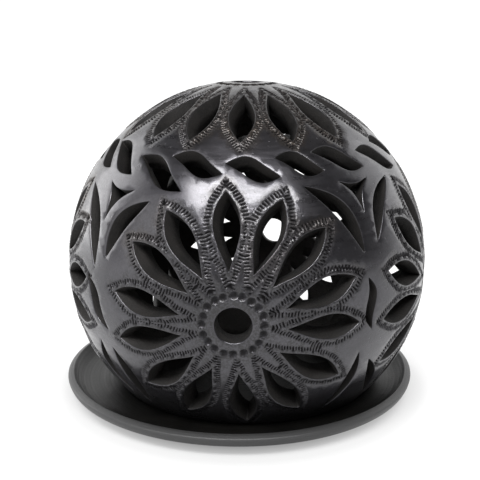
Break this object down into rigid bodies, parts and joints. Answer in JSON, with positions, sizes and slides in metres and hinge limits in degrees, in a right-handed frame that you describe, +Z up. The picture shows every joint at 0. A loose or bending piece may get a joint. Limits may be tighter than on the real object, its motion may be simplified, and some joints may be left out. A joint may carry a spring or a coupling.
{
  "type": "pierced clay globe lantern",
  "caption": "Black burnished clay globe lantern with pierced flowers and leaves, open below, standing in a shallow clay saucer.",
  "frame": {"origin": "on the table, under the middle of the saucer", "axes": "+Z up, -Y towards the front flower, +X to the right seen from the front"},
  "size_m": [0.2044, 0.2, 0.1746],
  "materials": {
    "burnished_clay": "burnished, satin, with matte cut faces",
    "saucer_clay": "matte inside, lightly burnished on the lip"
  },
  "bodies": {
    "saucer": {"saucer": "saucer_clay"},
    "globe": {"globe": "burnished_clay"}
  },
  "joints": [
    {"name": "globe_lift", "type": "slide", "parent": "saucer", "child": "globe", "axis": [0, 0, 1], "range_m": [0, 0.2]}
  ]
}
